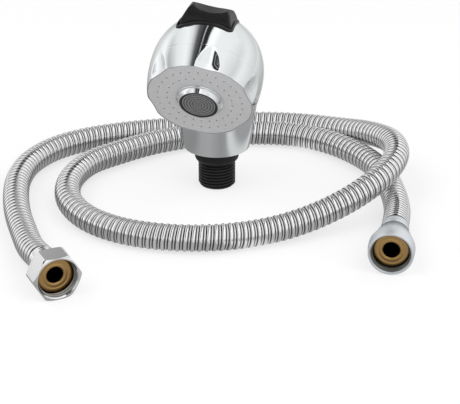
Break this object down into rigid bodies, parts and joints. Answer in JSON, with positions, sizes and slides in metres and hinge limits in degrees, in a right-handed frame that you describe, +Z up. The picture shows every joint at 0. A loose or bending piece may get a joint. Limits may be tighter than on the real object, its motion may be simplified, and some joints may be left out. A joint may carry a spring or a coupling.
{
  "type": "pull-out spray head with connection hose",
  "caption": "Chromed pull-out rinse head with a black two-way rocker, spray face and aerator, standing on its threaded inlet inside a loose corrugated steel hose with end nuts.",
  "frame": {"origin": "centre of the head's inlet thread, on its end face, which stands on the surface the hose lies on", "axes": "+Z up the inlet's axis; the spray face looks towards -Y and down; +X to the right of someone facing the spray face"},
  "size_m": [0.2367, 0.2437, 0.1128],
  "materials": {
    "polished_chrome": "polished chrome plating",
    "satin_plate": "satin plating, fine grain",
    "black_rubber": "matt moulded rubber",
    "white_plastic": "moulded, unpolished",
    "dark_plastic": "moulded, matt",
    "steel_mesh": "bright stainless steel",
    "black_plastic": "moulded, semi-gloss",
    "inlet_plastic": "moulded, satin",
    "hose_steel": "polished strip-wound stainless steel",
    "nut_chrome": "chrome plating over brass",
    "satin_nut": "satin chrome plating over brass",
    "brass_tail": "turned, unplated"
  },
  "bodies": {
    "hose": {"hose_cover": "hose_steel", "hose_liner": "black_rubber", "hex_end_tail": "brass_tail", "hex_end_slip_ring": "white_plastic", "hex_end_ferrule": "nut_chrome", "cone_end_tail": "brass_tail", "cone_end_slip_ring": "white_plastic", "cone_end_ferrule": "nut_chrome"},
    "hex_nut": {"hex_nut": "nut_chrome"},
    "cone_nut": {"cone_nut": "satin_nut"},
    "head": {"body_shell": "polished_chrome", "spray_face": "satin_plate", "face_seal": "black_rubber", "flow_divider": "white_plastic", "aerator_collar": "polished_chrome", "aerator_insert": "dark_plastic", "aerator_screens": "steel_mesh", "aerator_seal": "black_rubber", "valve_body": "white_plastic", "valve_body_screws": "steel_mesh", "rocker_bezel": "black_plastic", "rocker_pivot_pin": "steel_mesh", "inlet_connector": "inlet_plastic", "connector_o_rings": "black_rubber", "inlet_washer": "black_rubber", "inlet_strainer": "steel_mesh", "check_valve_cage": "white_plastic", "check_valve_spring": "steel_mesh"},
    "rocker": {"rocker_button": "black_plastic"},
    "spool": {"diverter_spool": "white_plastic", "spool_rings": "black_rubber"},
    "poppet": {"check_valve_poppet": "white_plastic", "check_valve_seal": "black_rubber"}
  },
  "joints": [
    {"name": "head_lift", "type": "slide", "parent": "hose", "child": "head", "axis": [0, 0, 1], "range_m": [0, 0.12]},
    {"name": "rocker_tilt", "type": "hinge", "parent": "head", "child": "rocker", "pos_m": [0, -0.02, 0.098], "axis": [0, -1, 0], "range_deg": [0, 17]},
    {"name": "spool_shift", "type": "slide", "parent": "head", "child": "spool", "axis": [1, 0, 0], "range_m": [0, 0.0032]},
    {"name": "poppet_lift", "type": "slide", "parent": "head", "child": "poppet", "axis": [0, 0, 1], "range_m": [0, 0.0024], "stiffness_N_per_m": 150, "springref_m": -0.001, "deforming": ["check_valve_spring"]},
    {"name": "hex_nut_spin", "type": "hinge", "parent": "hose", "child": "hex_nut", "pos_m": [-0.04422, -0.15141, 0.0114], "axis": [0.6157, -0.788, 0], "continuous": true},
    {"name": "cone_nut_spin", "type": "hinge", "parent": "hose", "child": "cone_nut", "pos_m": [0.1106, -0.09096, 0.012], "axis": [0.0523, -0.9986, 0], "continuous": true}
  ],
  "couplings": [
    {"joint": "spool_shift", "follows": "rocker_tilt", "m_per_rad": 0.00996}
  ]
}
